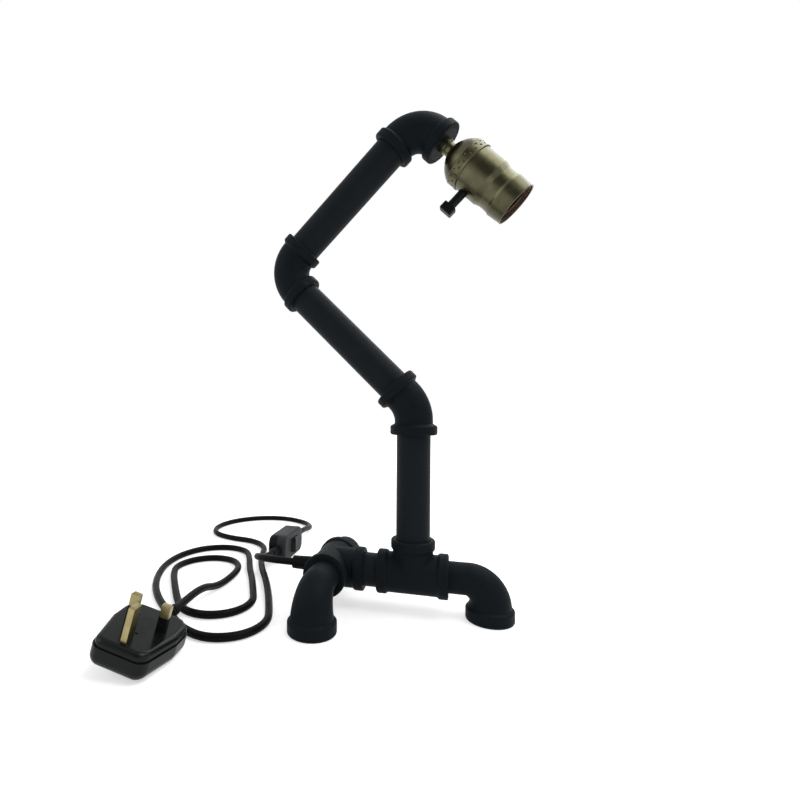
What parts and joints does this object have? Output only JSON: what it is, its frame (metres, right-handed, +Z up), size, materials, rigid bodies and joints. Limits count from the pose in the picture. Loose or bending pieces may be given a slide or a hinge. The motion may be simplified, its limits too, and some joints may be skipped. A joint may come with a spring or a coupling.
{
  "type": "table lamp",
  "caption": "Table lamp of threaded pipe on three elbow feet, with a swivelling folded arm, a tilted brass bulb holder with a turn knob, an inline rocker switch and a mains plug.",
  "frame": {"origin": "on the floor under the middle of the lamp's own box, its free cord, switch and plug left out", "axes": "+Z up; +X from the pair of side feet towards the single foot, the way the lamp holder points; the arm and the holder lie in the XZ plane"},
  "size_m": [0.3607, 0.4144, 0.3998],
  "materials": {
    "black_pipe": "satin powder coat with a faint cool sheen",
    "black_fitting": "satin powder coat over a fine cast grain",
    "aged_brass": "aged satin brass, olive toned",
    "bright_brass": "bright brass",
    "liner_brown": "dark red-brown insulating paper",
    "insulator_dark": "matt moulded phenolic",
    "screw_shell_metal": "drawn bright metal",
    "knob_black": "gloss",
    "flex_black": "smooth satin PVC",
    "core_blue": "smooth",
    "gland_black": "satin",
    "switch_black": "satin gloss",
    "switch_grey": "satin",
    "rocker_black": "gloss",
    "plug_black": "satin gloss",
    "sleeve_black": "matt",
    "screw_steel": "plain steel",
    "steel_dark": "dull steel",
    "fuse_white": "plain ceramic",
    "carrier_red": "satin gloss"
  },
  "bodies": {
    "base": {"foot_elbow_right": "black_fitting", "foot_elbow_front": "black_fitting", "foot_elbow_rear": "black_fitting", "column_tee": "black_fitting", "leg_tee": "black_fitting", "base_nipple": "black_pipe", "column_pipe": "black_pipe", "cord_gland": "gland_black", "flex_base": "flex_black", "cord_lamp": "flex_black", "cord_plug": "flex_black", "switch_lower_half": "switch_black", "switch_upper_half": "switch_grey", "switch_screws": "screw_steel", "switch_reliefs": "gland_black", "switch_contacts": "bright_brass", "plug_base": "plug_black", "plug_cover": "plug_black", "pin_sleeves": "sleeve_black", "earth_pin": "bright_brass", "live_pin": "bright_brass", "neutral_pin": "bright_brass", "fuse_carrier": "carrier_red", "fuse_body": "fuse_white", "fuse_caps": "screw_steel", "plug_relief": "gland_black"},
    "lower_arm": {"arm_elbow": "black_fitting", "middle_pipe": "black_pipe", "flex_middle": "flex_black"},
    "upper_arm": {"middle_elbow": "black_fitting", "upper_pipe": "black_pipe", "flex_upper": "flex_black"},
    "head": {"top_elbow": "black_fitting", "flex_head": "flex_black", "holder_bushing": "black_pipe", "holder_tube": "steel_dark", "holder_locknut": "steel_dark", "neck_ferrule": "aged_brass", "socket_cap": "aged_brass", "socket_shell": "aged_brass", "socket_liner": "liner_brown", "socket_body": "insulator_dark", "terminal_screws": "bright_brass", "screw_shell": "screw_shell_metal", "centre_contact": "bright_brass", "holder_leads": "core_blue"},
    "knob": {"knob_stem": "knob_black", "switch_cam": "insulator_dark", "switch_knob": "knob_black"},
    "rocker": {"switch_rocker": "rocker_black"}
  },
  "joints": [
    {"name": "arm_swivel", "type": "hinge", "parent": "base", "child": "lower_arm", "pos_m": [0.01589, 0, 0.142], "axis": [0, 0, 1], "range_deg": [-90, 90]},
    {"name": "forearm_swivel", "type": "hinge", "parent": "lower_arm", "child": "upper_arm", "pos_m": [-0.07674, 0, 0.25763], "axis": [-0.7071, 0, 0.7071], "range_deg": [-90, 90]},
    {"name": "head_swivel", "type": "hinge", "parent": "upper_arm", "child": "head", "pos_m": [-0.00433, 0, 0.37246], "axis": [0.7071, 0, 0.7071], "range_deg": [-90, 90]},
    {"name": "knob_turn", "type": "hinge", "parent": "head", "child": "knob", "pos_m": [0.06546, 0, 0.3451], "axis": [-0.7071, 0, -0.7071], "continuous": true},
    {"name": "rocker_tilt", "type": "hinge", "parent": "base", "child": "rocker", "pos_m": [-0.1245, 0.107, 0.0135], "axis": [0, 0, 1], "range_deg": [-20, 0]}
  ]
}
